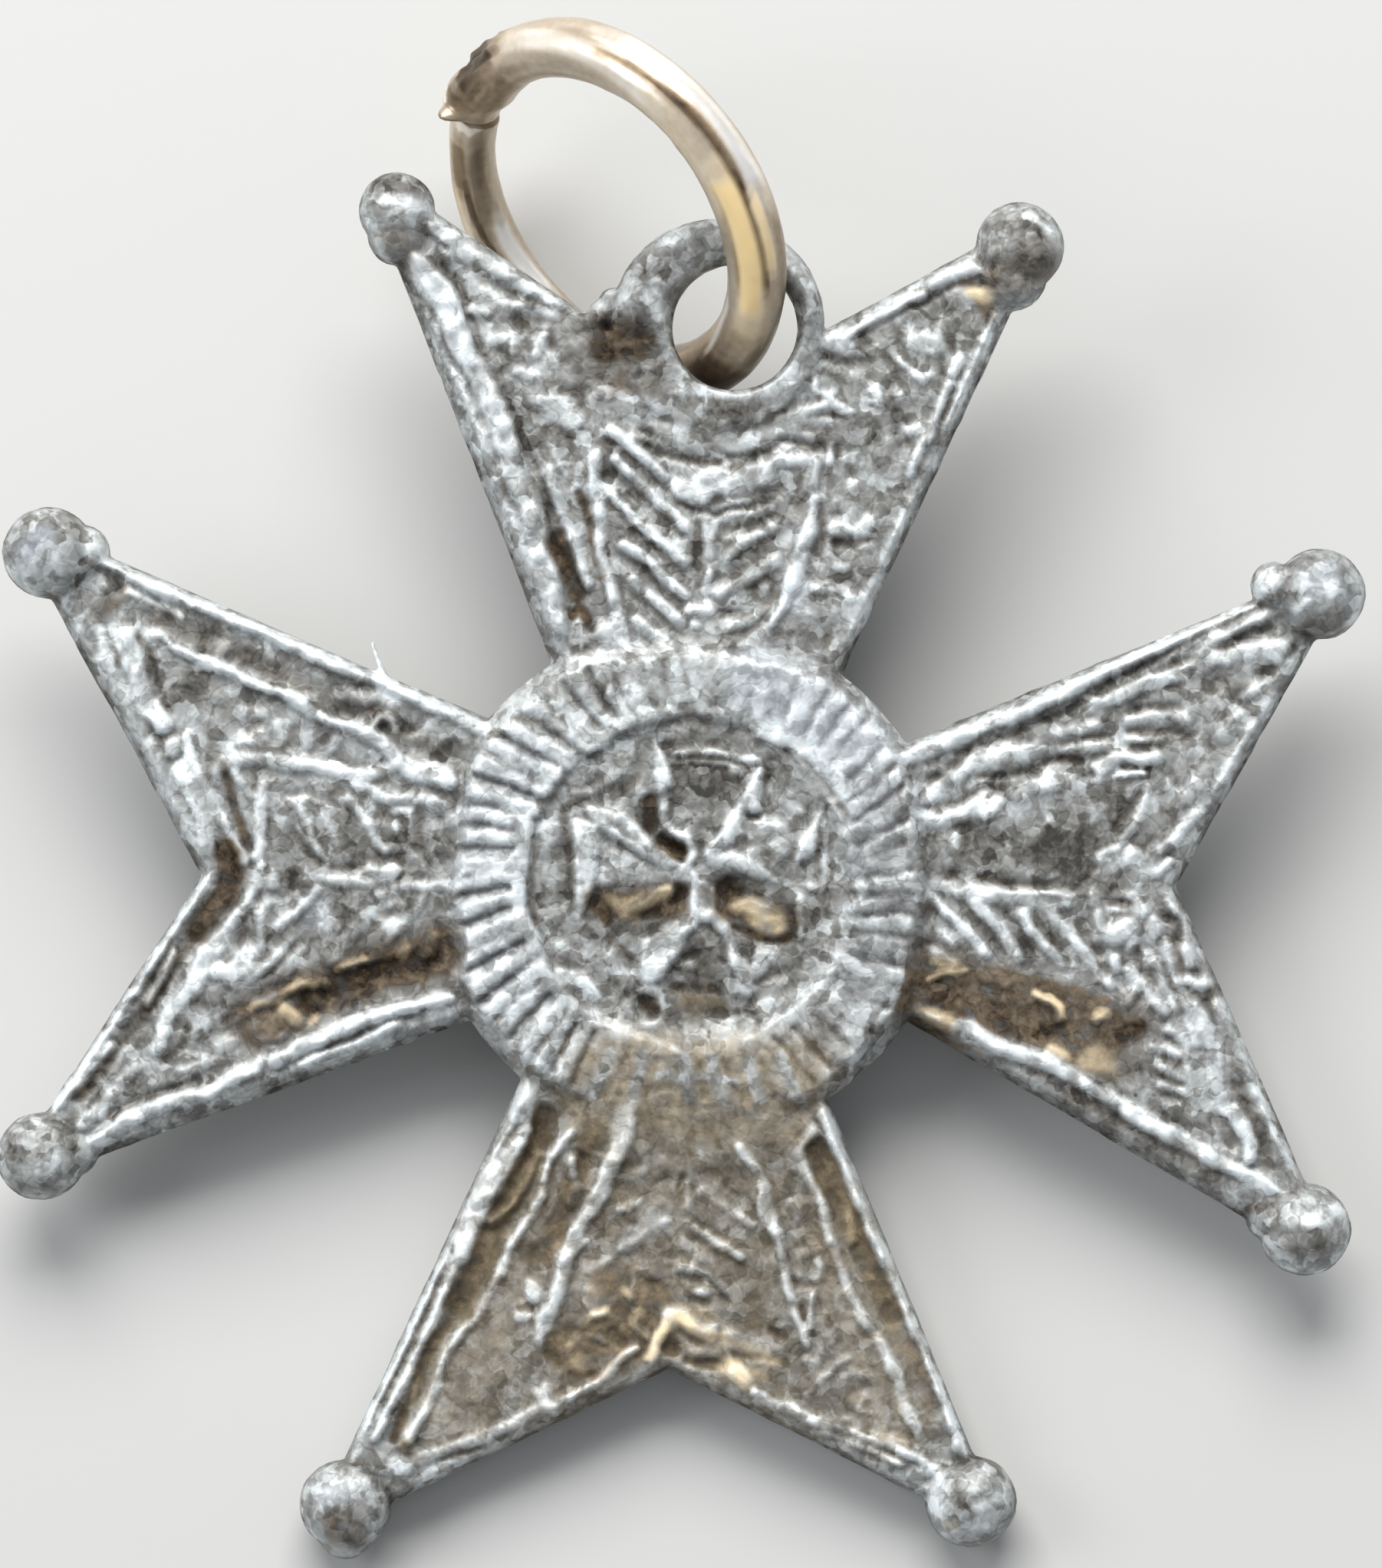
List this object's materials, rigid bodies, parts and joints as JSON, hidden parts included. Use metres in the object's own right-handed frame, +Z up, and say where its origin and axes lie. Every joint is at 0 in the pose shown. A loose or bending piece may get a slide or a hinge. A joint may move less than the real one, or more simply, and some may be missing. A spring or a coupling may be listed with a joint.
{
  "type": "miniature medal",
  "caption": "Miniature medal: a cast cross with swallow-tailed arms tipped with balls, a ribbed round centre, a top eyelet and a leaning wire jump ring",
  "frame": {"origin": "Centre of the bounding box at the level of the surface that the medal lies on", "axes": "+Z up from that surface, +Y towards the top arm with the eyelet and the jump ring, +X towards the viewer's right when the face is seen from above"},
  "size_m": [0.0178, 0.0198, 0.0047],
  "materials": {
    "tarnished_silver": "cast silver alloy, bright worn crests, dark grey recesses with brown dirt",
    "worn_gold": "pale worn gold wire, grey where it is rubbed, orange in its reflections"
  },
  "bodies": {
    "root": {"cross_body": "tarnished_silver", "jump_ring": "worn_gold"}
  },
  "joints": []
}
